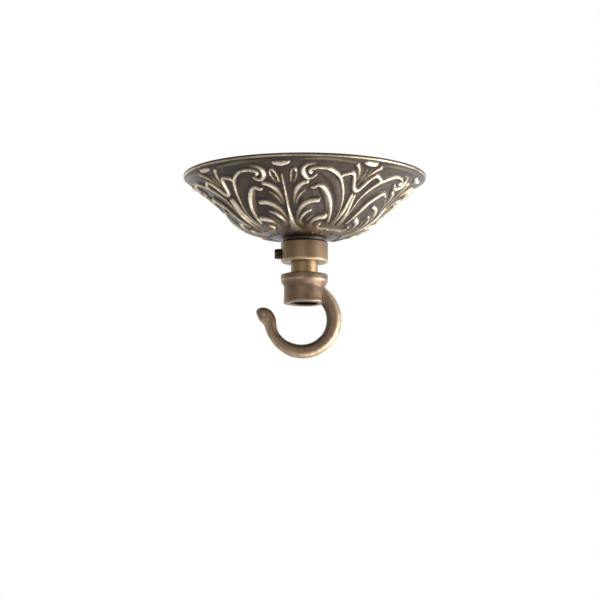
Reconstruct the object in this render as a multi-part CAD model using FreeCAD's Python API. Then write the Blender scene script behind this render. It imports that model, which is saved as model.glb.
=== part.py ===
import FreeCAD, Part
import math
import os

from FreeCAD import Vector as V

# Ceiling hook: a cast brass canopy with acanthus leaves, a slip collar with its screw, a tube
# that hangs from a steel strap, and a cast hook screwed to the tube's lower end.
# Millimetres. The origin lies in the ceiling plane on the tube's axis, +Z points up, and the
# hook's ring lies in the XZ plane with its mouth to -X.

# Canopy
canopy_dia = 108.0
canopy_wall = 2.2
canopy_rim_height = 1.3
canopy_rim_lip = 0.9
canopy_depth = 27.6
canopy_boss_r = 9.8
canopy_boss_height = 1.05
canopy_turn = -12.4
leaf_height = 1.25
leaf_root = 0.8

# Slip collar and its screw
collar_height = 10.1
collar_r = 10.5
collar_edge = 0.5
collar_screw_drop = 6.2
screw_r = 2.5
screw_stand = 2.75
screw_slot_width = 0.9
screw_slot_depth = 1.0
screw_tip_gap = 0.05
slip_gap = 0.08
canopy_hole_gap = 0.6

# Threaded tube and the sleeve over it
tube_r = 5.0
tube_bore_r = 3.5
tube_above_nut = 1.1
tube_in_hook = 5.8
sleeve_r = 6.0
thread_gap = 0.05
stem_length = 5.25

# Hook casting
flange_r = 10.5
flange_height = 3.2
flange_edge = 0.5
barrel_neck_r = 9.1
barrel_cove = 2.8
barrel_lip_r = 9.3
barrel_lip_edge = 0.5
barrel_height = 13.15
mouth_r = 6.3
mouth_depth = 6.4
ring_offset = -1.0
ring_drop = 20.2
ring_r = 14.15
bar_root_r = 3.5
bar_right_r = 3.4
bar_low_r = 3.12
bar_thin_r = 2.52
bar_thin_at = -145.0
bar_neck_r = 2.82
ring_start = 56.0
ring_end = -170.0
ring_spans = 16
tip_length = 9.5
tip_bend_r = 7.5
tip_half_width = 3.55
tip_half_thick = 2.9

# Strap and what is fixed to it
strap_end = 6.0
strap_width = 16.0
strap_thick = 2.0
strap_drop = 8.0
strap_foot = 12.5
strap_bend_run = 2.5
strap_corner_r = 3.0
ceiling_hole_pitch = 64.0
ceiling_hole_r = 2.25
nut_flats = 14.0
nut_thick = 3.5
nut_edge = 0.6
tooth_washer_r = 8.6
tooth_washer_thick = 0.8
tooth_count = 12
tooth_depth = 1.1
plain_washer_r = 8.6
plain_washer_thick = 1.2
earth_offset = -17.0
earth_screw_r = 2.0
earth_screw_length = 8.0
earth_head_r = 4.0
earth_head_height = 2.6
earth_slot_width = 1.1
earth_slot_depth = 1.2
earth_washer_r = 4.6
earth_washer_thick = 0.8
bush_flange_r = 5.8
bush_flange_thick = 1.5
bush_bore_r = 2.5
bush_skirt = 4.0

# Heights and radii that follow from the sizes above
rim_r = canopy_dia / 2.0
canopy_foot = -canopy_depth - canopy_boss_height
collar_foot = canopy_foot - collar_height
collar_bore_r = sleeve_r + slip_gap
canopy_hole_r = sleeve_r + canopy_hole_gap
flange_top = collar_foot - stem_length
barrel_foot = flange_top - barrel_height
ring_z = flange_top - ring_drop
strap_half_length = ceiling_hole_pitch / 2 + strap_end
strap_foot_z = -strap_drop - strap_thick
low_nut_top = strap_foot_z - tooth_washer_thick
plain_top = low_nut_top - nut_thick
sleeve_top = plain_top - plain_washer_thick
tube_top = -strap_drop + nut_thick + tube_above_nut
tube_foot = flange_top - tube_in_hook
fit_bore_r = tube_r + thread_gap


def turned(outline):
    """Solid of revolution about Z of a closed outline of (r, z) corners."""
    wire = Part.makePolygon([V(r, 0, z) for r, z in outline + outline[:1]])
    return Part.Face(wire).revolve(V(0, 0, 0), V(0, 0, 1), 360)


def tube(outer_r, inner_r, top, length, edge=0.0):
    """Round tube or ring about Z, with its outer edges broken when edge is given."""
    foot = top - length
    if edge:
        return turned([(inner_r, foot), (outer_r - edge, foot), (outer_r, foot + edge),
                       (outer_r, top - edge), (outer_r - edge, top), (inner_r, top)])
    return turned([(inner_r, foot), (outer_r, foot), (outer_r, top), (inner_r, top)])


def rod(radius, foot, length, x=0.0):
    """Round bar along Z."""
    return Part.makeCylinder(radius, length, V(x, 0, foot))


# The bowl's ground under its rim, from the rim inwards, as shares of the rim radius and depth
ground_shares = [
    (0.968, 0.078), (0.925, 0.140), (0.582, 0.692), (0.410, 0.899), (0.185, 1.0),
]
# The leaves are drawn on a chart: degrees round from a leaf axis, and millimetres down a
# meridian of chart_length from the rim, with the ground starting at chart_rim
chart_length = 52.4
chart_rim = 3.2


class Ground:
    """The bowl's outer surface below its rim, as an outline of (r, z) turned about Z."""

    def __init__(self):
        self.points = [V(rim_r * r, 0, -canopy_depth * z) for r, z in ground_shares]
        self.runs = [b - a for a, b in zip(self.points, self.points[1:])]
        self.length = sum(run.Length for run in self.runs)
        self.slopes = [V(-run.z, 0, run.x).normalize() for run in self.runs]

    def inset(self, gap):
        """The outline moved inwards by a wall."""
        moved = [self.points[0] - self.slopes[0] * gap]
        for before, after, spot in zip(self.slopes, self.slopes[1:], self.points[1:]):
            mean = (before + after).normalize()
            moved.append(spot - mean * (gap / mean.dot(after)))
        moved.append(self.points[-1] - self.slopes[-1] * gap)
        return moved

    def place(self, degrees, down):
        """Point and outward normal at a place on the leaf chart."""
        share = (down - chart_rim) / (chart_length - chart_rim)
        left = min(max(share, 0.0), 1.0) * self.length
        index = 0
        while index < len(self.runs) - 1 and left > self.runs[index].Length:
            left -= self.runs[index].Length
            index += 1
        part = left / self.runs[index].Length
        spot = self.points[index] + self.runs[index] * part
        near = max(index - 1, 0) if part < 0.5 else min(index + 1, len(self.slopes) - 1)
        weight = abs(part - 0.5)
        slope = (self.slopes[index] * (1.0 - weight) + self.slopes[near] * weight).normalize()
        turn = math.radians(degrees)
        round_x, round_y = math.sin(turn), -math.cos(turn)
        normal = V(slope.x * round_x, slope.x * round_y, slope.z)
        return V(spot.x * round_x, spot.x * round_y, spot.z), normal


ground = Ground()


def ridge(path):
    """Tapering three-sided ridge along chart places (degrees, down, half width, height)."""
    places = [ground.place(u, v) for u, v, _, _ in path]
    sections = []
    for i, (_, _, half, height) in enumerate(path):
        before = places[max(i - 1, 0)][0]
        after = places[min(i + 1, len(path) - 1)][0]
        spot, normal = places[i]
        side = normal.cross(after - before).normalize()
        root_half = half * (leaf_height + leaf_root) / leaf_height
        corners = [
            spot + side * root_half - normal * leaf_root,
            spot + normal * (height * leaf_height),
            spot - side * root_half - normal * leaf_root,
        ]
        sections.append(Part.makePolygon(corners + corners[:1]))
    return Part.makeLoft(sections, True, True)


def volute():
    """Chart places of the scroll about its eye, its millimetres turned into degrees."""
    eye, _ = ground.place(0.0, volute_eye[1])
    degrees_per_mm = 180.0 / (math.pi * math.hypot(eye.x, eye.y))
    places = []
    for i in range(volute_points):
        share = i / (volute_points - 1)
        angle = math.radians(volute_start + volute_sweep * share)
        radius = volute_radii[0] + (volute_radii[1] - volute_radii[0]) * share
        across = radius * math.cos(angle) * degrees_per_mm
        places.append((volute_eye[0] + across, volute_eye[1] - radius * math.sin(angle)))
    return places


def tapered(places, halves, heights):
    """Ridge whose half width and relative height run through (start, middle, end) values."""
    path = []
    for i, (u, v) in enumerate(places):
        share = 2.0 * i / (len(places) - 1)
        low = 0 if share < 1.0 else 1
        mix = share - low
        half = halves[low] * (1 - mix) + halves[low + 1] * mix
        height = heights[low] * (1 - mix) + heights[low + 1] * mix
        path.append((u, v, half, height))
    return ridge(path)


def mirrored(places, axis):
    """Chart places carried on past an axis as their mirror image."""
    return places + [(2 * axis - u, v) for u, v in reversed(places[:-1])]


# Leaves of one eighth of the canopy, between a leaf axis (0 degrees) and a shell axis (45)
shell_axis = 45.0
volute_eye = (15.7, 10.9)
volute_radii = (1.5, 3.6)
volute_start = -20.0
volute_sweep = -290.0
volute_points = 7
main_leaf = [(22.0, 8.0), (27.5, 9.9), (32.5, 13.4), (37.0, 18.4), (40.3, 25.0),
             (41.2, 32.0), (39.8, 39.5)]
inner_leaf = [(17.0, 18.9), (19.3, 18.5), (22.0, 17.4), (28.0, 20.9), (33.2, 27.4),
              (35.9, 37.0)]
top_frond = [(13.3, 16.0), (9.5, 17.8), (6.0, 22.5), (4.5, 29.0)]
middle_frond = [(23.4, 25.9), (18.0, 25.8), (11.5, 29.0), (6.8, 38.0)]
low_frond = [(31.2, 33.6), (26.5, 34.2), (21.5, 36.2), (17.5, 41.0)]
shell_edge = [(33.0, 13.4), (35.6, 10.6), (38.4, 10.2), (40.6, 12.6), (42.4, 17.0), (45.0, 19.6)]
shell_stem = [(45.0, 21.8), (45.0, 30.0), (45.0, 38.5)]
bracket_leaf = [(28.8, 38.6), (26.7, 40.4), (29.5, 42.9), (45.0, 43.8)]
vein = [(0.0, 12.0), (0.0, 28.0), (0.0, 38.0), (0.0, 45.5)]
leaf_cap = [(-4.6, 4.0), (-3.6, 6.4), (0.0, 7.6), (3.6, 6.4), (4.6, 4.0)]
shell_cap = [(40.8, 3.6), (42.2, 5.2), (45.0, 6.0), (47.8, 5.2), (49.2, 3.6)]


def eighth_leaves():
    """Ridges of one eighth, repeated as mirror images round the bowl."""
    return [
        tapered(volute() + main_leaf, (0.4, 0.8, 0.7), (0.8, 1.25, 0.4)),
        tapered(inner_leaf, (0.8, 0.95, 0.6), (1.0, 1.1, 0.3)),
        tapered(top_frond, (0.75, 1.0, 0.5), (0.9, 1.0, 0.2)),
        tapered(middle_frond, (0.9, 1.1, 0.7), (0.9, 1.0, 0.2)),
        tapered(low_frond, (0.9, 1.1, 0.7), (0.9, 1.0, 0.2)),
    ]


def quarter_leaves():
    """Ridges that stand across an axis, once in every quarter."""
    return [
        tapered(mirrored(shell_edge, shell_axis), (0.6, 1.0, 0.6), (0.7, 1.1, 0.7)),
        tapered(mirrored(bracket_leaf, shell_axis), (0.8, 0.9, 0.8), (0.9, 0.8, 0.9)),
        tapered(vein, (0.3, 0.8, 2.2), (0.5, 1.0, 0.3)),
        tapered(shell_stem, (0.75, 0.85, 0.9), (0.7, 1.0, 0.2)),
        tapered(leaf_cap, (0.9, 1.3, 0.9), (1.3, 1.6, 1.3)),
        tapered(shell_cap, (0.9, 1.2, 0.9), (1.2, 1.5, 1.2)),
    ]


def canopy():
    """The cast bowl with its rim, boss, hole and leaves."""
    inner = [(p.x, p.z) for p in ground.inset(canopy_wall)]
    del inner[1]
    outer = [(p.x, p.z) for p in ground.points]
    outline = [(rim_r - canopy_wall, 0), (rim_r, 0), (rim_r, -canopy_rim_height),
               (rim_r - canopy_rim_lip, -canopy_rim_height - canopy_rim_lip / 2)]
    outline += outer
    outline += [(canopy_boss_r, canopy_foot), (canopy_hole_r, canopy_foot)]
    outline += [(canopy_hole_r, inner[-1][1])] + list(reversed(inner))
    eighth = eighth_leaves()
    quarter = eighth + [leaf.mirror(V(0, 0, 0), V(1, 0, 0)) for leaf in eighth]
    quarter += quarter_leaves()
    leaves = []
    for turn in range(4):
        for leaf in quarter:
            copy = leaf.copy()
            copy.rotate(V(0, 0, 0), V(0, 0, 1), turn * 90.0)
            leaves.append(copy)
    cast = turned(outline).multiFuse(leaves).Solids[0]
    cast.rotate(V(0, 0, 0), V(0, 0, 1), canopy_turn)
    return cast


def slip_collar():
    """Turned collar that holds the canopy up, with its tapped side hole."""
    collar = tube(collar_r, collar_bore_r, canopy_foot, collar_height, collar_edge)
    hole = Part.makeCylinder(screw_r + thread_gap, collar_r * 1.5,
                             V(0, 0, canopy_foot - collar_screw_drop), V(-1, 0, 0))
    return collar.cut(hole)


def collar_screw():
    """Headless slotted screw that clamps the collar on the sleeve."""
    height = canopy_foot - collar_screw_drop
    tip = sleeve_r + screw_tip_gap
    end = collar_r + screw_stand
    screw = Part.makeCylinder(screw_r, end - tip, V(-tip, 0, height), V(-1, 0, 0))
    slot = Part.makeBox(screw_slot_depth * 2, screw_slot_width, screw_r * 4,
                        V(-end - screw_slot_depth, -screw_slot_width / 2, height - screw_r * 2))
    return screw.cut(slot)


# The cove under the hook's flange, as shares of its run inwards and of its height
cove_shares = [(0.62, 0.35), (0.2, 0.7), (0.0, 1.0)]
# The hook's rounded tip, as shares of its length, its half width and its half thickness
tip_shares = [
    (0.245, 0.93, 0.99), (0.465, 1.0, 1.0), (0.63, 0.945, 0.95), (0.785, 0.75, 0.78),
    (0.92, 0.45, 0.5), (1.0, 0.2, 0.24),
]


def hook():
    """One casting: flange, cove, barrel with its open mouth, and the round hook bar."""
    band_foot = flange_top - flange_height
    cove_run = flange_r - barrel_neck_r
    cove = [(barrel_neck_r + cove_run * run, band_foot - barrel_cove * fall)
            for run, fall in cove_shares]
    body = turned([
        (0, flange_top), (flange_r - flange_edge, flange_top),
        (flange_r, flange_top - flange_edge), (flange_r, band_foot), *cove,
        (barrel_lip_r, barrel_foot + barrel_lip_edge),
        (barrel_lip_r - barrel_lip_edge, barrel_foot), (0, barrel_foot),
    ])
    cast = body.fuse(hook_bar())
    cast = cast.cut(rod(mouth_r, barrel_foot - mouth_depth, mouth_depth * 2))
    cast = cast.cut(rod(fit_bore_r, barrel_foot, barrel_height * 2))
    return cast.Solids[0]


def bar_radius(degrees):
    """Half thickness of the bar round its ring, from the barrel to where the tip begins."""
    stations = [(ring_start, bar_root_r), (0.0, bar_right_r), (-90.0, bar_low_r),
                (bar_thin_at, bar_thin_r), (ring_end, bar_neck_r)]
    for (first, thick), (last, thin) in zip(stations, stations[1:]):
        if degrees >= last:
            break
    return thick + (thin - thick) * (first - degrees) / (first - last)


def bar_section(spot, way, half_width, half_thick):
    """Oval section of the bar, its width in the ring's plane and its thickness across it."""
    across = V(0, 1, 0)
    edge = Part.Ellipse(V(0, 0, 0), half_width, min(half_thick, half_width)).toShape()
    edge.Placement = FreeCAD.Placement(spot, FreeCAD.Rotation(way.cross(across), across, way))
    return Part.Wire(edge)


def hook_bar():
    """The bar through oval sections, down and round its ring, then out to its rounded tip."""
    sections = []
    for i in range(ring_spans + 1):
        degrees = ring_start + (ring_end - ring_start) * i / ring_spans
        turn = math.radians(degrees)
        spot = V(ring_offset + ring_r * math.cos(turn), 0, ring_z + ring_r * math.sin(turn))
        way = V(math.sin(turn), 0, -math.cos(turn))
        half = bar_radius(degrees)
        sections.append(bar_section(spot, way, half, half))
    outward = V(-way.z, 0, way.x)
    for share, wide, thick in tip_shares:
        bend = share * tip_length / tip_bend_r
        place = spot + way * (tip_bend_r * math.sin(bend)) \
            + outward * (tip_bend_r * (1 - math.cos(bend)))
        heading = way * math.cos(bend) + outward * math.sin(bend)
        sections.append(bar_section(place, heading, tip_half_width * wide,
                                    tip_half_thick * thick))
    return Part.makeLoft(sections, True, True)


def strap():
    """Bent steel strap: two feet on the ceiling, a lowered middle, holes for all its screws."""
    foot_x = strap_half_length - strap_foot
    bend_x = foot_x - strap_bend_run
    top, middle, thick = 0.0, -strap_drop, strap_thick
    half = [(bend_x, middle), (foot_x, top), (strap_half_length, top),
            (strap_half_length, top - thick), (foot_x + thick / 2, top - thick),
            (bend_x + thick / 2, middle - thick)]
    outline = half + [(-x, z) for x, z in reversed(half)]
    wire = Part.makePolygon([V(x, -strap_width / 2, z) for x, z in outline + outline[:1]])
    plate = Part.Face(wire).extrude(V(0, strap_width, 0))
    corners = [e for e in plate.Edges
               if abs(abs(e.CenterOfMass.x) - strap_half_length) < 0.01
               and abs(e.CenterOfMass.y) > strap_width / 4]
    plate = plate.makeFillet(strap_corner_r, corners)
    deep = strap_drop + thick
    for x in (-ceiling_hole_pitch / 2, ceiling_hole_pitch / 2):
        plate = plate.cut(rod(ceiling_hole_r, -deep, deep * 2, x))
    plate = plate.cut(rod(fit_bore_r, -deep * 2, deep * 2))
    return plate.cut(rod(earth_screw_r + thread_gap, -deep * 2, deep * 2, earth_offset))


def locknut(top):
    """Hexagon nut with its corners turned off on both faces."""
    corner_r = nut_flats / math.sqrt(3.0)
    corners = [V(corner_r * math.cos(math.radians(60 * i)),
                 corner_r * math.sin(math.radians(60 * i)), top - nut_thick) for i in range(7)]
    prism = Part.Face(Part.makePolygon(corners)).extrude(V(0, 0, nut_thick))
    foot = top - nut_thick
    envelope = turned([(0, foot), (corner_r - nut_edge, foot), (corner_r, foot + nut_edge / 2),
                       (corner_r, top - nut_edge / 2), (corner_r - nut_edge, top), (0, top)])
    return prism.common(envelope).cut(rod(fit_bore_r, foot - 1.0, nut_thick + 2.0))


def toothed_washer():
    """Lock washer with teeth round its outside."""
    washer = tube(tooth_washer_r, fit_bore_r, strap_foot_z, tooth_washer_thick)
    gap = math.pi * tooth_washer_r / tooth_count
    notch = Part.makeBox(tooth_depth * 2, gap, tooth_washer_thick * 2,
                         V(tooth_washer_r - tooth_depth, -gap / 2,
                           strap_foot_z - tooth_washer_thick * 1.5))
    notches = []
    for i in range(tooth_count):
        copy = notch.copy()
        copy.rotate(V(0, 0, 0), V(0, 0, 1), 360.0 * i / tooth_count)
        notches.append(copy)
    return washer.cut(notches)


def earth_screw():
    """Pan head screw with a slot, up through the strap from below."""
    head_top = strap_foot_z - earth_washer_thick
    head_foot = head_top - earth_head_height
    head = tube(earth_head_r, 0.0, head_top, earth_head_height, earth_head_height / 4)
    slot = Part.makeBox(earth_head_r * 3, earth_slot_width, earth_slot_depth * 2,
                        V(-earth_head_r * 1.5, -earth_slot_width / 2,
                          head_foot - earth_slot_depth))
    screw = head.cut(slot).fuse(rod(earth_screw_r, head_top, earth_screw_length))
    screw.translate(V(earth_offset, 0, 0))
    return screw


def earth_washer():
    """Flat washer under the earth screw's head."""
    washer = tube(earth_washer_r, earth_screw_r + thread_gap, strap_foot_z, earth_washer_thick)
    washer.translate(V(earth_offset, 0, 0))
    return washer


def tube_bush():
    """Smooth bush in the tube's top end, where the lamp's cable goes in."""
    skirt_r = tube_bore_r - thread_gap
    return turned([
        (bush_bore_r, tube_top - bush_skirt), (skirt_r, tube_top - bush_skirt),
        (skirt_r, tube_top), (bush_flange_r, tube_top),
        (bush_flange_r, tube_top + bush_flange_thick / 2),
        (bush_flange_r - bush_flange_thick / 2, tube_top + bush_flange_thick),
        (bush_bore_r, tube_top + bush_flange_thick),
    ])


def build():
    """Every piece by its node's name."""
    return {
        "canopy": canopy(),
        "slip_collar": slip_collar(),
        "collar_screw": collar_screw(),
        "spacer_sleeve": tube(sleeve_r, fit_bore_r, sleeve_top, sleeve_top - flange_top),
        "threaded_tube": tube(tube_r, tube_bore_r, tube_top, tube_top - tube_foot),
        "hook": hook(),
        "ceiling_strap": strap(),
        "upper_locknut": locknut(-strap_drop + nut_thick),
        "toothed_washer": toothed_washer(),
        "lower_locknut": locknut(low_nut_top),
        "plain_washer": tube(plain_washer_r, fit_bore_r, plain_top, plain_washer_thick),
        "tube_bush": tube_bush(),
        "earth_screw": earth_screw(),
        "earth_washer": earth_washer(),
    }


os.makedirs("parts", exist_ok=True)
for name, shape in build().items():
    shape.exportStep("parts/" + name + ".step")
    box = shape.BoundBox
    print(name, "valid" if shape.isValid() else "BROKEN", len(shape.Solids), "solid,",
          len(shape.Faces), "faces,", round(shape.Volume, 1), "mm3, z",
          round(box.ZMin, 2), round(box.ZMax, 2), "x", round(box.XMin, 2), round(box.XMax, 2))
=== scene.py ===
"""Looks of a cast brass ceiling hook: carved canopy, slip collar, tube, hook and ceiling strap.

Everything is in metres in the frame of the solids: the ceiling plane is z = 0, the tube runs down
the Z axis, the hook's ring lies in the XZ plane with its mouth to -X.
"""

import logging
import math
from dataclasses import dataclass, field, fields
from enum import Enum
from typing import Optional, Sequence, Union

import bmesh
import bpy
import numpy as np
from mathutils import Matrix, Vector, noise


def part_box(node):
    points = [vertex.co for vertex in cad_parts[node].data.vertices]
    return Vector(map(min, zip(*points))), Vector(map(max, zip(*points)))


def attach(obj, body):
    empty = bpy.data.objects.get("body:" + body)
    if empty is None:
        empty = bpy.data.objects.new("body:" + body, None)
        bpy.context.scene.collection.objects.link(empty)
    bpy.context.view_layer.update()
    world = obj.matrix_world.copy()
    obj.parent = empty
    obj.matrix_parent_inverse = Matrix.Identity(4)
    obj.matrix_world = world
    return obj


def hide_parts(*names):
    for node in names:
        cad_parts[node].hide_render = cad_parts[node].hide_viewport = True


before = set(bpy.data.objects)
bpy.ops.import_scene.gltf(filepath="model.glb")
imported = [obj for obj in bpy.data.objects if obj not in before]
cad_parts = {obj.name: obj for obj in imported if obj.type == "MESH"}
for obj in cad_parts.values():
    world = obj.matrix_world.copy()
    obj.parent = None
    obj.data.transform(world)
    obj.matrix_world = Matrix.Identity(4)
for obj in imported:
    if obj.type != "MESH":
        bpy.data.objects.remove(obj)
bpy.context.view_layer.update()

log = logging.getLogger("ceiling_hook")

MM = 0.001
MERGED = 0.001 * MM  # corners closer than this become one
SAME = 0.01 * MM  # corners closer than this lie on one line or skin

Spot = tuple[float, float]
Triple = tuple[float, float, float]
Outline = list[Spot]
Piece = bpy.types.Object
Tree = bpy.types.NodeTree
Socket = bpy.types.NodeSocket
Rows = np.ndarray


class Body(Enum):
    """What a piece moves with."""

    HANGER = "hanger"
    COLLAR = "collar"
    SCREW = "screw"
    COVER = "cover"


class Slot(Enum):
    """The record's material slots."""

    CANOPY = "canopy_brass"
    TURNED = "turned_brass"
    TUBE = "tube_brass"
    HOOK = "hook_brass"
    NUT = "nut_brass"
    ZINC = "zinc_steel"
    DARK = "dark_steel"
    NYLON = "nylon"


class Joining(Enum):
    """How a second shape changes the first."""

    CUT = "DIFFERENCE"
    UNITE = "UNION"
    TRIM = "INTERSECT"


@dataclass(frozen=True)
class Extent:
    """A solid's box, from its lowest to its highest corner."""

    low: Vector
    high: Vector

    @property
    def radius(self) -> float:
        """Radius of a piece that stands on the axis."""
        return self.high.x

    @property
    def foot(self) -> float:
        """Height of its lower end."""
        return self.low.z

    @property
    def top(self) -> float:
        """Height of its upper end."""
        return self.high.z

    @property
    def length(self) -> float:
        """How high it is."""
        return self.high.z - self.low.z


def linear(colour: str) -> tuple[float, float, float, float]:
    """Turns an sRGB hex colour into linear red, green, blue and alpha.

    Args:
        colour: six hex digits after a hash mark.

    Returns:
        Four linear values.
    """
    shares = [int(colour[i:i + 2], 16) / 255.0 for i in (1, 3, 5)]
    values = [s / 12.92 if s <= 0.04045 else ((s + 0.055) / 1.055) ** 2.4 for s in shares]
    return (*values, 1.0)


def per_metre(size_mm: float) -> float:
    """Scale of a pattern whose features measure size_mm."""
    return 1.0 / (size_mm * MM)


def add_node(tree: Tree, kind: str, inputs: Optional[dict] = None,
             **settings: object) -> bpy.types.Node:
    """Adds one node to a tree, with its settings, values and links.

    Args:
        tree: the material's or world's node tree.
        kind: the node's type, without its prefix.
        inputs: values or output sockets by the input's name or number.
        settings: properties of the node.

    Returns:
        The new node.
    """
    node = tree.nodes.new("ShaderNode" + kind)
    for name, value in settings.items():
        setattr(node, name, value)
    for key, value in (inputs or {}).items():
        if isinstance(value, Socket):
            tree.links.new(value, node.inputs[key])
        else:
            node.inputs[key].default_value = value
    return node


def empty_tree(owner: Union[bpy.types.Material, bpy.types.World]) -> Tree:
    """Gives a new material or world an empty node tree.

    Args:
        owner: the material or world.

    Returns:
        Its tree.
    """
    owner.use_nodes = True
    owner.node_tree.nodes.clear()
    return owner.node_tree


# Finishes


@dataclass(frozen=True)
class Grain:
    """A noise pattern.

    Attributes:
        size_mm: size of its features.
        detail: how many finer layers it holds.
        roughness: how strong those are.
        stretch: scale along each axis; a small one draws the features out.
    """

    size_mm: float
    detail: float
    roughness: float = 0.5
    stretch: Triple = (1.0, 1.0, 1.0)


@dataclass(frozen=True)
class Ramp:
    """Runs from start to end while a signal rises from low to high."""

    signal: str
    low: float = 0.0
    high: float = 1.0
    start: float = 0.0
    end: float = 1.0

    def inputs(self, signals: dict[str, Socket]) -> dict[int, object]:
        """What a node that maps one range to another takes in."""
        return {0: signals[self.signal], 1: self.low, 2: self.high, 3: self.start, 4: self.end}


Layers = tuple[tuple[str, Ramp], ...]
Rough = Union[float, Ramp]


@dataclass(frozen=True)
class Finish:
    """What every finish shares: colours laid over each other, each where its ramp rises.

    A ramp reads one of these signals: cloud and speck, two noises; wear and hollow, the marks
    that a piece carries, the first pale abrasion with painted highlights, the second dark
    patina with painted shade; rubbed, which is wear broken up by speck.

    Attributes:
        label: the material's common name and process.
        slot: the record's slot it belongs to; not used.
        base: the lowest colour.
        layers: the colours over it, in order.
        cloud: the broad pattern.
        speck: the fine pattern, which also raises the skin.
        rough: roughness, even or on a ramp.
        bump: strength of the fine relief and its height in millimetres.
        marks: which marks of the piece it reads.
        patch: how speck breaks up the pale abrasion and painted highlight.
        blend: share of speck that is mixed into cloud.
        metallic: 1 for bare metal.
        lacquer: weight of the thin clear lacquer that keeps an aged finish.
    """

    label: str
    slot: Slot
    base: str
    layers: Layers
    cloud: Grain
    speck: Grain
    rough: Rough
    bump: Spot
    marks: tuple[str, ...] = ()
    patch: Optional[Ramp] = None
    blend: float = 0.0
    metallic: float = 1.0
    lacquer: float = 0.0

    def signals(self, tree: Tree) -> dict[str, Socket]:
        """Makes the noises and reads the marks.

        Args:
            tree: the material's node tree.

        Returns:
            Output sockets by the signal's name.
        """
        place = add_node(tree, "TexCoord").outputs["Object"]
        found = {}
        for name, grain in (("cloud", self.cloud), ("speck", self.speck)):
            spot = add_node(tree, "Mapping", {"Vector": place, "Scale": grain.stretch})
            found[name] = add_node(tree, "TexNoise", {
                "Vector": spot.outputs[0], "Scale": per_metre(grain.size_mm),
                "Detail": grain.detail, "Roughness": grain.roughness}).outputs[0]
        if self.blend:
            found["cloud"] = add_node(
                tree, "Mix", {0: self.blend, 2: found["cloud"], 3: found["speck"]},
                data_type="FLOAT").outputs[0]
        for name in self.marks:
            found[name] = add_node(tree, "Attribute", attribute_name=name).outputs["Fac"]
        if self.patch:
            patch = add_node(tree, "MapRange", self.patch.inputs(found))
            found["rubbed"] = add_node(tree, "Math", {0: found["wear"], 1: patch.outputs[0]},
                                       operation="MULTIPLY", use_clamp=True).outputs[0]
        return found

    def material(self) -> bpy.types.Material:
        """Builds the material once and returns it afterwards.

        Returns:
            The material of this finish.
        """
        found = bpy.data.materials.get(self.label)
        if found:
            return found
        material = bpy.data.materials.new(self.label)
        tree = empty_tree(material)
        signals = self.signals(tree)
        colour = linear(self.base)
        for over, ramp in self.layers:
            share = add_node(tree, "MapRange", ramp.inputs(signals))
            colour = add_node(tree, "Mix", {0: share.outputs[0], 6: colour, 7: linear(over)},
                              data_type="RGBA").outputs[2]
        rough = self.rough
        if isinstance(rough, Ramp):
            rough = add_node(tree, "MapRange", rough.inputs(signals)).outputs[0]
        strength, height_mm = self.bump
        skin = add_node(tree, "Bump", {"Strength": strength, "Distance": height_mm * MM,
                                       "Height": signals["speck"]})
        shader = add_node(tree, "BsdfPrincipled", {
            "Base Color": colour, "Roughness": rough, "Normal": skin.outputs[0],
            "Metallic": self.metallic, "Coat Weight": self.lacquer, "Coat Roughness": 0.3})
        add_node(tree, "OutputMaterial", {"Surface": shader.outputs["BSDF"]})
        return material


@dataclass(frozen=True)
class CarvedBrass(Finish):
    """Cast brass under a dark chemical patina, abraded bright on its raised lines.

    The eye sees dull dark brown hollows and pale straw-coloured crests; the crests carry painted
    highlights and the feet of the lines painted shade.
    """

    label: str = "cast_brass_dark_patina"
    slot: Slot = Slot.CANOPY
    base: str = "#393026"
    layers: Layers = (
        ("#4f4539", Ramp("cloud", 0.35, 0.65)),  # smoky patches of the ground
        ("#38302e", Ramp("hollow")),  # patina and painted shade at the foot of each line, painted shade under the bead and on the boss
        ("#aa9778", Ramp("rubbed", 0.02, 0.5)),  # half abraded through, with a painted highlight
        ("#f8efda", Ramp("rubbed", 0.44, 0.95)))  # abraded down to the brass, whitened into a painted highlight
    cloud: Grain = Grain(7.0, 4.0)
    speck: Grain = Grain(1.1, 3.0)
    rough: Rough = Ramp("rubbed", 0.0, 0.6, 0.46, 0.34)
    bump: Spot = (0.35, 0.05)
    marks: tuple[str, ...] = ("wear", "hollow")
    patch: Optional[Ramp] = Ramp("speck", 0.3, 0.7, 0.75, 1.2)
    lacquer: float = 0.45


@dataclass(frozen=True)
class TurnedBrass(Finish):
    """Brass bar turned on a lathe and aged brown, with fine rings left by the tool.

    The eye sees a satin brown with thin level lines that catch the light. The lines are the
    speck, drawn out round the axis and coarse enough to show.
    """

    label: str = "turned_brass_aged"
    slot: Slot = Slot.TURNED
    base: str = "#7d6651"
    # The pale layer paints the collar's edge highlights, with some abrasion, and its paler foot.
    layers: Layers = (("#927a60", Ramp("cloud", 0.35, 0.65)), ("#e6cfa6", Ramp("wear")))
    cloud: Grain = Grain(5.0, 3.0)
    speck: Grain = Grain(0.45, 3.0, 0.7, (0.03, 0.03, 1.0))
    rough: Rough = Ramp("speck", 0.3, 0.7, 0.3, 0.42)
    bump: Spot = (0.25, 0.04)
    marks: tuple[str, ...] = ("wear",)
    blend: float = 0.5
    lacquer: float = 0.25


@dataclass(frozen=True)
class DrawnBrassTube(TurnedBrass):
    """Drawn brass lamp tube, aged lighter than the castings.

    The eye sees a satin olive-brown tube with soft level marks.
    """

    label: str = "drawn_brass_tube_aged"
    slot: Slot = Slot.TUBE
    base: str = "#8d7355"
    # The pale layer is the painted highlight on the sleeve's right side.
    layers: Layers = (("#a58a68", Ramp("cloud", 0.35, 0.65)), ("#c8b189", Ramp("wear")))
    speck: Grain = Grain(0.7, 3.0, 0.7, (0.03, 0.03, 1.0))


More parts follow.
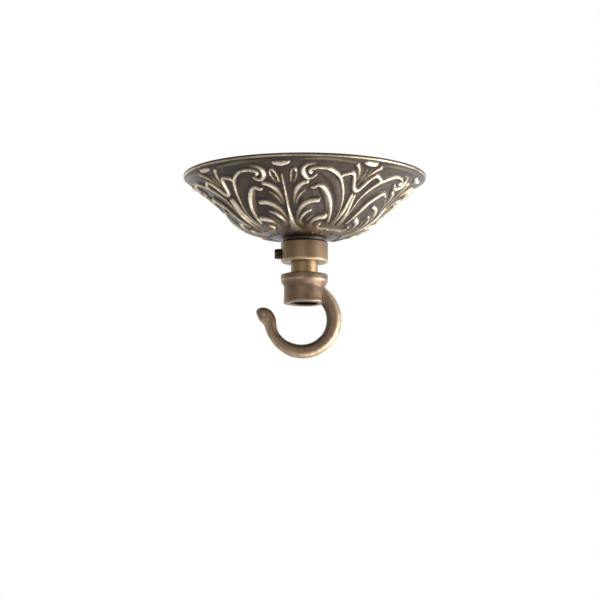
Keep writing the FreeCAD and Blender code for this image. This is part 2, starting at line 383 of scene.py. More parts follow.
@dataclass(frozen=True)
class CastHookBrass(Finish):
    """Sand-cast brass, hand-filed and aged red-brown.

    The eye sees an uneven, slightly wavy skin, warm brown, with painted highlights on edges and
    bulges and painted shade in its recesses.
    """

    label: str = "cast_brass_red_brown"
    slot: Slot = Slot.HOOK
    base: str = "#786150"
    layers: Layers = (
        ("#90755d", Ramp("cloud", 0.35, 0.68)),
        ("#d2bb9a", Ramp("rubbed")),  # painted highlights on edges, lip and underside
        ("#302d2c", Ramp("hollow")))  # painted shade in the bore, inside the ring and in the cove
    cloud: Grain = Grain(4.5, 5.0, 0.6)
    speck: Grain = Grain(0.7, 3.0)
    rough: Rough = Ramp("speck", 0.3, 0.7, 0.34, 0.44)
    bump: Spot = (0.2, 0.06)
    marks: tuple[str, ...] = ("wear", "hollow")
    patch: Optional[Ramp] = Ramp("speck", end=1.7)
    lacquer: float = 0.25


@dataclass(frozen=True)
class MachinedBrass(Finish):
    """Plain machined brass of the nuts and earth screw, hidden in use and hardly aged.

    The eye sees warm yellow metal with a faint grain.
    """

    label: str = "machined_brass_plain"
    slot: Slot = Slot.NUT
    base: str = "#b5975a"
    layers: Layers = (("#cbb074", Ramp("cloud")),)
    cloud: Grain = Grain(3.0, 4.0)
    speck: Grain = Grain(0.5, 2.0)
    rough: Rough = 0.32
    bump: Spot = (0.15, 0.03)


@dataclass(frozen=True)
class ZincSteel(Finish):
    """Pressed steel with bright zinc plating.

    The eye sees a cool grey with cloudy patches and faint brushing along the strap.
    """

    label: str = "zinc_plated_steel"
    slot: Slot = Slot.ZINC
    base: str = "#9fa19d"
    layers: Layers = (("#bfc0ba", Ramp("cloud")),)
    cloud: Grain = Grain(4.0, 4.0)
    speck: Grain = Grain(0.35, 2.0, stretch=(0.06, 1.0, 1.0))
    rough: Rough = Ramp("speck", 0.3, 0.7, 0.3, 0.46)
    bump: Spot = (0.15, 0.03)


@dataclass(frozen=True)
class BlackenedSteel(Finish):
    """Small steel screw, oil-blackened and worn brown in specks.

    The eye sees near-black metal with dull bronze glints.
    """

    label: str = "blackened_steel"
    slot: Slot = Slot.DARK
    base: str = "#302823"
    layers: Layers = (("#8a7459", Ramp("cloud", 0.4, 0.7)),)
    cloud: Grain = Grain(0.8, 4.0)
    speck: Grain = Grain(0.8, 4.0)
    rough: Rough = 0.36
    bump: Spot = (0.2, 0.03)


@dataclass(frozen=True)
class MouldedNylon(Finish):
    """Injection-moulded natural nylon of the bush.

    The eye sees milky white plastic with a soft sheen.
    """

    label: str = "moulded_nylon"
    slot: Slot = Slot.NYLON
    base: str = "#d6d2c6"
    layers: Layers = (("#e2dfd5", Ramp("cloud")),)
    cloud: Grain = Grain(2.5, 2.0)
    speck: Grain = Grain(0.4, 2.0)
    rough: Rough = 0.45
    bump: Spot = (0.1, 0.03)
    metallic: float = 0.0


# Shop tools

ON_AXIS = (0.0, 0.0, 0.0)
MANY_FACETS = 200  # a turned piece with more is spun in part, then doubled, which is quicker


def deselect_all() -> None:
    """Leaves no object selected, CAD nodes included."""
    for thing in list(bpy.context.selected_objects):
        thing.select_set(False)


def take(piece: Piece) -> None:
    """Makes a piece the only selected and the active one.

    Args:
        piece: the piece.
    """
    deselect_all()
    piece.select_set(True)
    bpy.context.view_layer.objects.active = piece


def apply_modifier(piece: Piece, kind: str, **settings: object) -> None:
    """Adds a modifier to a piece and applies it.

    Args:
        piece: the object to change.
        kind: the modifier's type.
        settings: its properties.
    """
    take(piece)
    modifier = piece.modifiers.new(kind.lower(), kind)
    for name, value in settings.items():
        setattr(modifier, name, value)
    bpy.ops.object.modifier_apply(modifier=modifier.name)


def combine(piece: Piece, other: Piece, way: Joining = Joining.CUT) -> None:
    """Cuts, unites or trims a piece with another, which is used up."""
    apply_modifier(piece, "BOOLEAN", object=other, operation=way.value, solver="EXACT")
    bpy.data.objects.remove(other)


def smooth(piece: Piece, degrees: float) -> None:
    """Shades a piece smooth apart from edges sharper than an angle."""
    take(piece)
    bpy.ops.object.shade_smooth_by_angle(angle=math.radians(degrees))


def soften(piece: Piece, width: float, segments: int = 3, degrees: float = 35.0) -> None:
    """Rounds every sharp edge of a piece and then shades it smooth."""
    apply_modifier(piece, "BEVEL", width=width, segments=segments, limit_method="ANGLE",
                   angle_limit=math.radians(28.0))
    smooth(piece, degrees)


def settle(piece: Piece) -> None:
    """Puts a piece's place, turn and size into its mesh."""
    take(piece)
    bpy.ops.object.transform_apply(location=True, rotation=True, scale=True)


def block(size: Triple, place: Triple, turn: float = 0.0) -> Piece:
    """Makes a block to cut with.

    Args:
        size: its length, width and height.
        place: its middle.
        turn: its turn about Z.

    Returns:
        The block.
    """
    deselect_all()
    bpy.ops.mesh.primitive_cube_add(size=1.0, location=place, rotation=(0.0, 0.0, turn))
    made = bpy.context.object
    made.scale = size
    settle(made)
    return made


def drill(piece: Piece, radius: float, depth: float, place: Triple, tilt: float = 0.0) -> None:
    """Drills a round hole.

    Args:
        piece: what is drilled.
        radius: of the hole.
        depth: length of the drill.
        place: the drill's middle.
        tilt: its turn about Y.
    """
    deselect_all()
    bpy.ops.mesh.primitive_cylinder_add(vertices=48, radius=radius, depth=depth, location=place,
                                        rotation=(0.0, tilt, 0.0))
    combine(piece, bpy.context.object)


def close_up() -> None:
    """Merges the edited mesh's doubled corners, turns its faces out and ends the editing."""
    bpy.ops.mesh.select_all(action="SELECT")
    bpy.ops.mesh.remove_doubles(threshold=MERGED)
    bpy.ops.mesh.normals_make_consistent(inside=False)
    bpy.ops.object.mode_set(mode="OBJECT")


def turned(outline: Outline, steps: int) -> Piece:
    """Turns a closed outline about the Z axis, as on a lathe.

    Args:
        outline: corners (r, z) in metres, in order, not repeated at the end.
        steps: how many facets go round.

    Returns:
        The turned piece, its faces pointing outwards.
    """
    deselect_all()
    bpy.ops.mesh.primitive_plane_add(size=MM, location=(outline[0][0], 0.0, outline[0][1]))
    piece = bpy.context.object
    settle(piece)
    bpy.ops.object.mode_set(mode="EDIT")
    bpy.ops.mesh.select_all(action="SELECT")
    bpy.ops.mesh.merge(type="CENTER")
    for (r, z), (next_r, next_z) in zip(outline, outline[1:]):
        bpy.ops.mesh.extrude_region_move(
            TRANSFORM_OT_translate={"value": (next_r - r, 0.0, next_z - z)})
    mesh = bmesh.from_edit_mesh(piece.data)
    for vertex in mesh.verts:
        vertex.select_set(len(vertex.link_edges) == 1)
    bmesh.update_edit_mesh(piece.data)
    bpy.ops.mesh.edge_face_add()
    bpy.ops.mesh.select_all(action="SELECT")
    doublings = 3 if steps > MANY_FACETS else 0
    sector = math.tau / 2 ** doublings
    bpy.ops.mesh.spin(steps=steps // 2 ** doublings, angle=sector, center=ON_AXIS,
                      axis=(0.0, 0.0, 1.0))
    for i in range(doublings):
        bpy.ops.mesh.select_all(action="SELECT")
        bpy.ops.mesh.duplicate()
        bpy.ops.transform.rotate(value=sector * 2 ** i, orient_axis="Z", center_override=ON_AXIS)
    close_up()
    return piece


def thread(root: float, crest: float, foot: float, pitch: float, turns: int) -> Outline:
    """The zigzag of a thread, without its first root.

    Args:
        root: radius between the crests.
        crest: radius of the crests.
        foot: height where it starts.
        pitch: height of one turn.
        turns: how many turns.

    Returns:
        Corners from the foot upwards.
    """
    outline = []
    for i in range(turns):
        outline += [(crest, foot + (i + 0.5) * pitch), (root, foot + (i + 1.0) * pitch)]
    return outline


def smooth_curve(points: Sequence[Spot], steps: int) -> Rows:
    """Runs a smooth curve through points.

    Args:
        points: the points in order.
        steps: how many parts each span is divided into.

    Returns:
        One row for each place on the curve.
    """
    knots = np.array((points[0], *points, points[-1]), float)
    rows = []
    for a, b, c, d in zip(knots, knots[1:], knots[2:], knots[3:]):
        for t in np.arange(steps) / steps:
            rows.append(0.5 * (2 * b + (c - a) * t + (2 * a - 5 * b + 4 * c - d) * t ** 2
                               + (3 * b - a - 3 * c + d) * t ** 3))
    return np.array([*rows, knots[-1]])


def corners(piece: Piece, what: str = "co") -> Rows:
    """Reads a mesh's vertices.

    Args:
        piece: the piece.
        what: "co" for their places, "normal" for the way they face.

    Returns:
        One row for each vertex.
    """
    flat = np.empty(len(piece.data.vertices) * 3)
    piece.data.vertices.foreach_get(what, flat)
    return flat.reshape(-1, 3)


def move_corners(piece: Piece, places: Rows) -> None:
    """Puts a mesh's vertices at new places."""
    piece.data.vertices.foreach_set("co", places.astype(np.float32).ravel())
    piece.data.update()


def mark(piece: Piece, name: str, values: Rows) -> None:
    """Writes one number a vertex for a finish to read."""
    attribute = piece.data.attributes.new(name, "FLOAT", "POINT")
    attribute.data.foreach_set("value", values.astype(np.float32))


def step_between(values: Rows, low: float, high: float) -> Rows:
    """Smooth step from 0 at low to 1 at high."""
    share = np.clip((values - low) / (high - low), 0.0, 1.0)
    return share * share * (3.0 - 2.0 * share)


def bell(values: Rows, centre: float, reach: float) -> Rows:
    """Smooth hump that is 1 at its centre."""
    return np.exp(-((values - centre) / reach) ** 2)


def waves(places: Rows, size_mm: float, shift: Triple = ON_AXIS) -> Rows:
    """Smooth noise about 0 at each place, its waves size_mm long."""
    offset = Vector(shift)
    return np.array([noise.noise(Vector(p) * per_metre(size_mm) + offset) for p in places])


def hand_over(piece: Piece, name: str, body: Body, finish: Finish, *nodes: str) -> None:
    """Names a finished piece, dresses it and gives it to its body.

    Args:
        piece: the finished mesh.
        name: its name.
        body: what it moves with.
        finish: its material.
        nodes: the CAD nodes it stands for.
    """
    settle(piece)
    piece.name = name
    piece.data.materials.clear()
    piece.data.materials.append(finish.material())
    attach(piece, body.value)
    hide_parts(*nodes)
    log.info("%s: %d faces, on %s", name, len(piece.data.polygons), body.value)


def dress_node(node: str, finish: Finish) -> None:
    """Gives a carried-over CAD node its finish.

    Args:
        node: the node's name.
        finish: its material.
    """
    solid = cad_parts[node]
    solid.data.materials.clear()
    solid.data.materials.append(finish.material())
    log.info("%s: CAD node, %s", node, finish.label)


# Carving

# A stroke's section, across in half widths and upwards in millimetres.
CURVE_STEPS = 8
REACH = 2.2  # as far out as a stroke changes the skin and its patina and painted shade
CREST_POWER = 1.5  # above 1 it hollows the flanks
RUB_START = 0.1  # share of the crest from which it is abraded pale with a painted highlight
RUB_HEIGHT = 1.35  # a lower line is abraded and highlit less
DARK_LINE = (1.25, 0.3)  # where patina and painted shade lie darkest beside a crest, and its reach
DARK_HEIGHT = 1.2  # a lower line gets less of both


@dataclass(frozen=True)
class Stroke:
    """One raised line of the carving.

    Attributes:
        places: listed points (degrees from the leaf axis, millimetres down the bowl).
        half: half widths at its start, middle and end, in millimetres.
        rise: heights at its start, middle and end, in millimetres.
        flanks: how much wider it runs out on its left and right side, looking along it.
        polish: how far its crest is abraded bright and given a painted highlight.
        full: share of its height from which the crest is abraded and highlit all over; low for flat
            tops.
        across: True if it crosses an axis as drawn, and isn't mirrored there.
    """

    places: tuple[Spot, ...]
    half: Triple = (0.7, 0.9, 0.5)
    rise: Triple = (1.0, 1.2, 0.4)
    flanks: Spot = (1.0, 1.0)
    polish: float = 1.0
    full: float = 1.0
    across: bool = False

    def relief(self, turn: Rows, down: Rows, arc: Rows) -> Rows:
        """Height of this stroke over the chart.

        Args:
            turn: degrees of each chart point.
            down: millimetres down of each chart point.
            arc: millimetres that one degree measures there.

        Returns:
            Three rows: height in millimetres, how far it is abraded pale with a painted highlight,
            and how dark its foot is painted with patina and painted shade, both from 0 to 1.
        """
        line = smooth_curve(self.places, CURVE_STEPS)
        reach = REACH * max(self.half) * max(self.flanks)
        rows = np.zeros((3, len(turn)))
        near = (down > line[:, 1].min() - reach) & (down < line[:, 1].max() + reach)
        u, v, k = turn[near], down[near], arc[near]
        height, rubbed, dark = np.zeros((3, len(u)))
        thirds = (0.0, 0.5, 1.0)
        for i, ((u0, v0), (u1, v1)) in enumerate(zip(line, line[1:])):
            du, dv = (u1 - u0) * k, v1 - v0
            pu, pv = (u - u0) * k, v - v0
            along = np.clip((pu * du + pv * dv) / (du * du + dv * dv + 1e-12), 0.0, 1.0)
            share = (i + along) / (len(line) - 1)
            half, rise = np.interp(share, thirds, self.half), np.interp(share, thirds, self.rise)
            side = np.where(du * pv - dv * pu > 0.0, *self.flanks)
            far = np.hypot(pu - along * du, pv - along * dv) / (half * side)
            crown = np.clip(1.0 - far * far, 0.0, None) ** CREST_POWER
            height = np.maximum(height, crown * rise)
            worn_and_painted_highlight = step_between(crown, RUB_START, self.full) * np.minimum(rise / RUB_HEIGHT, 1.0)
            rubbed = np.maximum(rubbed, worn_and_painted_highlight * self.polish)
            dark = np.maximum(dark, bell(far, *DARK_LINE) * np.minimum(rise / DARK_HEIGHT, 1.0))
        rows[:, near] = height, rubbed, dark
        return rows


Strokes = tuple[Stroke, ...]


@dataclass(frozen=True)
class Acanthus:
    """The carving of one eighth of the bowl, from a leaf axis (0) to a shell axis (45).

    Attributes:
        main_leaf: the tall leaf: its rolled tip, the eye of the roll, its edge and its back.
        inner_leaf: the leaf inside it, with a knobbed tip and a broad concave back.
        fronds: three feathered lobes that sweep down to the leaf axis, with their side ribs.
        teardrop: the small open drop beside the leaf axis.
        shell: the fan between two main leaves, with its ribs and the twin stem below it.
        axis_pieces: the vein on the leaf axis, the caps under the rim and the foot bracket.
        foot: small leaf tips round the boss.
    """

    main_leaf: Strokes = (
        Stroke(((17.6, 12.2), (15.8, 13.6), (13.4, 13.7), (11.6, 12.3), (10.9, 10.2),
                (11.5, 8.2), (13.4, 7.0), (16.5, 6.6)),
               (0.8, 1.5, 1.0), (1.1, 1.6, 0.2), (0.9, 1.2)),
        Stroke(((14.4, 10.8), (15.2, 11.0)), (0.9, 0.9, 0.9), (1.5, 1.5, 1.5)),
        Stroke(((14.6, 10.9), (14.3, 9.8), (15.6, 8.9), (18.0, 8.3), (20.6, 8.1),
                (24.0, 8.6), (27.0, 10.0), (29.8, 11.6), (32.0, 13.4), (34.4, 16.4),
                (37.0, 20.4), (38.8, 24.2), (39.8, 28.4), (40.2, 33.0), (39.6, 38.5)),
               (0.85, 1.0, 0.5), (1.35, 1.5, 0.5), (1.0, 1.25)),
        Stroke(((22.0, 11.6), (27.5, 14.8), (32.0, 18.8), (35.4, 23.8), (37.2, 30.0)),
               (1.6, 2.9, 1.4), (0.25, 0.55, 0.3), polish=0.12))
    inner_leaf: Strokes = (
        Stroke(((15.9, 18.6), (17.6, 18.6), (19.4, 17.6), (21.3, 17.6), (24.0, 19.0),
                (27.0, 21.6), (29.6, 24.6), (31.7, 28.0), (33.2, 31.6), (34.6, 36.4)),
               (0.65, 1.5, 0.85), (1.15, 1.8, 0.9), (1.4, 0.85)),
        Stroke(((16.6, 18.8), (17.6, 18.7)), (0.95, 0.95, 0.95), (1.4, 1.4, 1.4)),
        Stroke(((22.5, 20.2), (25.6, 23.0), (28.0, 26.8), (29.6, 31.0)),
               (1.0, 1.6, 0.8), (0.5, 0.7, 0.2), polish=0.4))
    fronds: Strokes = (
        Stroke(((13.0, 16.0), (10.8, 16.7), (8.4, 18.3), (6.3, 20.7), (4.8, 23.6), (3.8, 27.4)),
               (1.3, 1.45, 0.5), (1.65, 0.9, 0.1), (1.3, 0.9)),
        Stroke(((11.6, 20.5), (9.2, 21.9), (7.0, 24.0), (5.4, 27.0)),
               (0.5, 0.75, 0.45), (0.6, 1.0, 0.25), polish=0.85),
        Stroke(((20.9, 25.3), (17.8, 25.6), (14.6, 26.2), (11.2, 27.5), (8.0, 30.0),
                (5.8, 33.3), (4.6, 36.6)), (1.3, 1.4, 0.6), (1.8, 0.95, 0.15), (1.3, 0.9)),
        Stroke(((16.4, 30.2), (13.2, 31.1), (10.2, 33.0), (7.8, 35.8), (6.4, 39.0)),
               (0.7, 1.0, 0.6), (1.1, 1.25, 0.35)),
        Stroke(((19.0, 33.2), (16.0, 34.4), (13.4, 36.4), (11.6, 39.2)),
               (0.45, 0.7, 0.45), (0.5, 0.85, 0.25), polish=0.5),
        Stroke(((28.6, 33.6), (25.6, 34.2), (22.4, 35.2), (19.4, 36.9), (16.8, 39.6)),
               (1.75, 1.55, 0.8), (1.8, 1.3, 0.35), (1.3, 0.9)),
        Stroke(((26.5, 37.4), (23.6, 38.6), (21.2, 40.6)),
               (0.5, 0.7, 0.5), (0.4, 0.7, 0.25), polish=0.5),
        Stroke(((9.0, 20.0), (12.0, 26.0), (14.0, 32.0), (13.0, 40.0)),
               (2.0, 3.8, 3.4), (0.2, 0.6, 0.5), polish=0.05),
        Stroke(((4.0, 36.6), (7.0, 38.6), (9.0, 41.0)),
               (1.6, 2.6, 1.8), (0.5, 0.8, 0.4), polish=0.4))
    teardrop: Strokes = (
        Stroke(((3.5, 15.8), (3.9, 12.8), (4.7, 10.1), (5.9, 8.7), (7.0, 9.6), (7.2, 11.8),
                (6.5, 14.0), (5.4, 15.9)), (0.45, 0.65, 0.4), (0.6, 1.25, 0.35)),)
    shell: Strokes = (
        Stroke(((31.4, 12.8), (32.5, 11.6), (34.6, 10.7), (37.2, 10.1), (39.2, 11.4),
                (40.8, 14.3), (42.2, 17.1), (43.6, 18.6), (45.0, 19.1)),
               (1.0, 1.05, 1.5), (1.4, 1.5, 1.7), (0.9, 1.25)),
        Stroke(((38.2, 5.4), (39.6, 6.8), (40.9, 8.8), (42.0, 11.2), (43.0, 13.8)),
               (1.2, 0.9, 0.45), (1.4, 1.1, 0.35)),
        Stroke(((42.0, 7.2), (43.0, 10.0), (43.9, 13.4)),
               (0.4, 0.55, 0.4), (0.4, 0.7, 0.3), polish=0.5),
        Stroke(((45.0, 7.8), (45.0, 12.0), (45.0, 16.6)),
               (0.6, 0.8, 0.5), (0.6, 0.9, 0.3), polish=0.55),
        Stroke(((43.9, 21.6), (43.6, 26.0), (43.1, 30.0), (42.6, 34.0), (41.8, 38.8)),
               (1.0, 1.25, 0.9), (1.35, 1.5, 0.5)))
    axis_pieces: Strokes = (
        Stroke(((-1.0, 11.5), (-1.0, 20.0), (-0.8, 29.0), (-0.5, 38.0), (0.0, 44.5)),
               (0.4, 0.65, 2.6), (0.6, 1.15, 0.8), across=True),
        Stroke(((-3.4, 5.4), (-1.7, 5.9), (0.0, 6.1), (1.7, 5.9), (3.4, 5.4)),
               (1.1, 1.5, 1.1), (1.3, 1.6, 1.3), (1.0, 1.2), full=0.5, across=True),
        Stroke(((42.2, 3.9), (43.6, 4.2), (45.0, 4.3)),
               (1.2, 1.4, 1.45), (1.3, 1.5, 1.5), full=0.5),
        Stroke(((27.2, 38.4), (25.4, 39.6), (25.8, 41.3), (28.4, 42.5), (32.0, 43.0),
                (36.0, 43.0), (40.0, 43.0), (45.0, 43.6)),
               (0.75, 0.8, 0.7), (1.3, 0.9, 0.7), polish=0.9),
        Stroke(((10.0, 3.9), (18.0, 3.5), (28.0, 3.9), (37.0, 4.6)),
               (0.5, 1.3, 0.6), (0.2, 0.3, 0.2), polish=0.9))
    foot: Strokes = (
        Stroke(((22.0, 46.8), (25.0, 47.6), (29.0, 47.2)),
               (0.4, 0.7, 0.4), (0.3, 0.6, 0.3), polish=0.45),
        Stroke(((37.0, 46.8), (41.0, 47.7), (45.0, 47.9)),
               (0.4, 0.6, 0.5), (0.3, 0.6, 0.4), polish=0.45),
        Stroke(((5.0, 46.0), (9.0, 47.2), (13.0, 46.6)),
               (0.4, 0.6, 0.4), (0.3, 0.5, 0.3), polish=0.2))

    def strokes(self) -> list[Stroke]:
        """All of them."""
        return [stroke for group in fields(self) for stroke in getattr(self, group.name)]


@dataclass
class CanopyCasting:
    """The bowl: a turned shell whose outer skin is carved by moving its vertices.

    Attributes:
        rim_radius: from the solid's box.
        foot: height of the boss's face.
        wall: thickness of the casting.
        rim_height: height of the rim's upright edge.
        boss_height: how far the boss stands below the bowl.
        hole_radius: the hole for the sleeve.
        chamfer: at the boss's edge.
        turn: degrees the leaf axis is turned from the front.
        steps: facets round the bowl.
        rows: facets down the bowl.
        chart_length: millimetres down the bowl from rim to boss.
        profile: radius and depth of the bowl's skin below the rim, as shares of the whole.
        bead: millimetres down of the bead under the rim, and its reach.
        shade: millimetres down of the dark line under the bead, and its reach.
        sole: millimetres down of the zone round the boss that gets painted light, and its reach.
        height_share: share of the drawn heights that the casting keeps.
        ground: a line lower than this, in millimetres, still holds patina and painted shade.
        wave_mm: length of the waves of the cast skin.
        seat_dark: painted shade on the boss, and what its foot adds next to the collar.
    """

    rim_radius: float
    foot: float
    wall: float = 2.2 * MM
    rim_height: float = 1.3 * MM
    boss_height: float = 1.0 * MM
    boss_radius: float = 9.8 * MM
    hole_radius: float = 6.6 * MM
    chamfer: float = 0.3 * MM
    turn: float = -11.8
    steps: int = 720
    rows: int = 108
    chart_length: float = 52.4
    profile: tuple[Spot, ...] = (
        (0.984, 0.045), (0.966, 0.076), (0.919, 0.136), (0.828, 0.271), (0.742, 0.406),
        (0.668, 0.542), (0.604, 0.673), (0.532, 0.784), (0.445, 0.872), (0.318, 0.946),
        (0.185, 1.0))
    bead: Spot = (1.3, 0.8)
    shade: Spot = (3.0, 0.5)
    sole: Spot = (43.0, 4.5)
    height_share: float = 0.85
    ground: float = 0.6
    wave_mm: float = 6.0
    # The rim's bead is abraded pale and carries a painted highlight.
    bead_wear: float = 0.65
    # The zone round the boss is painted paler as painted light.
    sole_wear: float = 0.2
    shade_dark: float = 0.7
    # The boss is painted dark as painted shade, darkest at its foot by the collar.
    seat_dark: Spot = (0.15, 0.85)
    carving: Acanthus = field(default_factory=Acanthus)
    finish: Finish = field(default_factory=CarvedBrass)

    def skin(self) -> Rows:
        """The outer outline from rim to boss, smooth and evenly divided.

        Returns:
            Rows of radius, height and the outward slope's two parts, in metres.
        """
        depth = -self.foot - self.boss_height
        bowl = [(self.rim_radius * r, -depth * z) for r, z in self.profile]
        fine = smooth_curve([(self.rim_radius, 0.0), (self.rim_radius, -self.rim_height), *bowl],
                            24)
        fine[:, 0] = np.minimum(fine[:, 0], self.rim_radius)
        gone = np.concatenate([[0.0], np.cumsum(np.hypot(*np.diff(fine, axis=0).T))])
        even = np.linspace(0.0, gone[-1], self.rows + 1)
        r, z = (np.interp(even, gone, fine[:, i]) for i in (0, 1))
        along_r, along_z = np.gradient(r), np.gradient(z)
        size = np.hypot(along_r, along_z)
        return np.stack([r, z, -along_z / size, along_r / size], axis=1)

    def shell(self, skin: Rows) -> Piece:
        """Turns the bowl with its inner wall, boss and hole.

        Args:
            skin: the outer outline.

        Returns:
            The uncarved bowl.
        """
        outer = [(r, z) for r, z, _, _ in skin]
        inner = [(r - self.wall * nr, z - self.wall * nz) for r, z, nr, nz in skin[6::12]]
        outline = [(self.rim_radius - self.wall, 0.0), *outer,
                   (self.boss_radius, self.foot + self.chamfer),
                   (self.boss_radius - self.chamfer, self.foot),
                   (self.hole_radius + 0.2 * MM, self.foot),
                   (self.hole_radius, self.foot + 0.2 * MM),
                   (self.hole_radius, skin[-1][1] + self.wall)]
        outline += [spot for spot in reversed(inner) if spot[0] > self.hole_radius + 2 * MM]
        return turned(outline, self.steps)

    def carve(self, piece: Piece, skin: Rows) -> None:
        """Moves the outer skin along its slope by the carving's height.

        Args:
            piece: the turned shell.
            skin: the outer outline it was turned from.
        """
        places = corners(piece)
        radius = np.hypot(places[:, 0], places[:, 1])
        gap = np.full(len(places), 1.0)
        row = np.zeros(len(places), int)
        for i, (r, z, _, _) in enumerate(skin):
            off = np.hypot(radius - r, places[:, 2] - z)
            row = np.where(off < gap, i, row)
            gap = np.minimum(gap, off)
        outside = gap < SAME
        down = row / self.rows * self.chart_length
        turn = np.degrees(np.arctan2(places[:, 0], -places[:, 1])) - self.turn
        signed = (turn + 45.0) % 90.0 - 45.0
        arc = math.radians(1.0) * radius / MM
        charted = np.zeros((3, len(places)))
        for stroke in self.carving.strokes():
            side = signed if stroke.across else np.abs(signed)
            charted = np.maximum(charted, stroke.relief(side, down, arc))
        height, wear, dark = charted
        # The rim's bead is abraded pale and carries a painted highlight.
        bead = np.clip(1.0 - ((down - self.bead[0]) / self.bead[1]) ** 2, 0.0, None)
        # Round the boss the bowl gets painted light: paler, and less dark beside its lines.
        sole = bell(down, *self.sole)
        wear = np.maximum(wear, step_between(bead, 0.1, 0.8) * self.bead_wear)
        wear = np.maximum(wear, sole * self.sole_wear)
        drift = waves(places, self.wave_mm)
        relief = height * (self.height_share + 0.1 * drift) * MM * outside
        across = places[:, :2] / np.maximum(radius, 1e-9)[:, None]
        places[:, :2] += across * (skin[row, 2] * relief)[:, None]
        places[:, 2] += skin[row, 3] * relief
        fits = self.rim_radius / np.maximum(np.hypot(places[:, 0], places[:, 1]), 1e-9)
        places[:, :2] *= np.minimum(fits, 1.0)[:, None]
        move_corners(piece, places)
        mark(piece, "wear", np.clip(wear * (0.9 + 0.3 * drift), 0.0, 1.0) * outside)
        # The feet of the lines are darkened by patina and painted shade; the line under the bead is
        # painted shade.
        low = np.clip(1.0 - height / self.ground, 0.0, 1.0) * (1.0 - 0.85 * sole)
        hollow = np.maximum(dark * low, bell(down, *self.shade) * self.shade_dark) * outside
        # The boss is painted dark as painted shade, darkest at its foot next to the collar.
        above = places[:, 2] - self.foot
        boss = ((radius < self.boss_radius + 0.5 * MM)
                & (above < self.boss_height + self.chamfer))
        seat = self.seat_dark[0] + self.seat_dark[1] * bell(above, 0.0, 0.5 * MM)
        mark(piece, "hollow", np.where(boss, seat, hollow))

    def build(self) -> None:
        """Makes and dresses the canopy."""
        skin = self.skin()
        piece = self.shell(skin)
        self.carve(piece, skin)
        smooth(piece, 60.0)
        hand_over(piece, "carved_canopy", Body.COVER, self.finish, "canopy")


# Collar and its screw


@dataclass
class CollarAssembly:
    """The slip collar and the screw that clamps it.

    Attributes:
        ring: box of the collar's solid.
        pin: box of the screw's solid.
        top: where the canopy rests on it.
        bore: radius of the bore round the sleeve.
        edge: rounding of its outer edges.
        play: between the screw and its hole.
        lit: how far above the foot the edge's painted highlight is brightest.
        wear: how pale the foot's edge and the top's edge are painted, as painted highlights with
            some abrasion, and how much paler the skin grows towards the foot.
    """

    ring: Extent
    pin: Extent
    top: float
    bore: float = 6.08 * MM
    edge: float = 0.62 * MM
    play: float = 0.05 * MM
    lit: float = 0.35 * MM
    wear: Triple = (0.7, 0.5, 0.08)
    slot_width: float = 0.9 * MM
    slot_depth: float = 1.0 * MM
    pitch: float = 0.8 * MM
    thread_depth: float = 0.4 * MM

    def collar(self) -> Piece:
        """Turns the ring with rounded edges and drills its screw hole.

        Returns:
            The collar.
        """
        radius, foot, top, edge = self.ring.radius, self.ring.foot, self.top, self.edge
        piece = turned([
            (self.bore, foot + edge), (self.bore + edge, foot), (radius - 3.0 * edge, foot),
            (radius - edge, foot), (radius, foot + edge), (radius, foot + 2.6 * edge),
            (radius, top - 1.6 * edge), (radius, top - edge), (radius - edge, top),
            (self.bore, top)], 128)
        drill(piece, self.pin.length / 2 + self.play, radius, (-radius, 0.0, self.pin_height()),
              math.pi / 2)
        soften(piece, 0.22 * MM)
        places = corners(piece)
        out, z = np.hypot(places[:, 0], places[:, 1]) - radius, places[:, 2]
        # The foot's and the top's edges get painted highlights with some abrasion; the skin is
        # painted paler towards the foot.
        wear = self.wear[0] * bell(np.hypot(out, z - foot - self.lit), 0.0, 0.75 * edge)
        wear += self.wear[1] * bell(np.hypot(out, z - top), 0.0, 0.8 * edge)
        wear += self.wear[2] * np.clip((top - z) / (top - foot), 0.0, 1.0)
        mark(piece, "wear", np.clip(wear, 0.0, 1.0))
        return piece

    def pin_height(self) -> float:
        """Height of the screw's axis."""
        return (self.pin.foot + self.pin.top) / 2

    def screw(self) -> Piece:
        """Turns the headless screw with its thread and slots its outer end.

        Returns:
            The screw.
        """
        crest, length = self.pin.length / 2, self.pin.high.x - self.pin.low.x
        root = crest - self.thread_depth
        piece = turned([(0.0, 0.0), (root, 0.0),
                        *thread(root, crest, 0.0, self.pitch, int(length / self.pitch)),
                        (root, length), (0.0, length)], 40)
        combine(piece, block((crest * 4.0, self.slot_width, self.slot_depth * 2.0),
                             (0.0, 0.0, length)))
        soften(piece, 0.05 * MM, 2, 30.0)
        piece.rotation_euler = (0.0, -math.pi / 2, 0.0)
        piece.location = (self.pin.high.x, 0.0, self.pin_height())
        settle(piece)
        return piece

    def build(self) -> None:
        """Makes and dresses both."""
        hand_over(self.collar(), "slip_collar_turned", Body.COLLAR, TurnedBrass(), "slip_collar")
        hand_over(self.screw(), "collar_screw_threaded", Body.SCREW, BlackenedSteel(),
                  "collar_screw")


# Tube, sleeve and bush


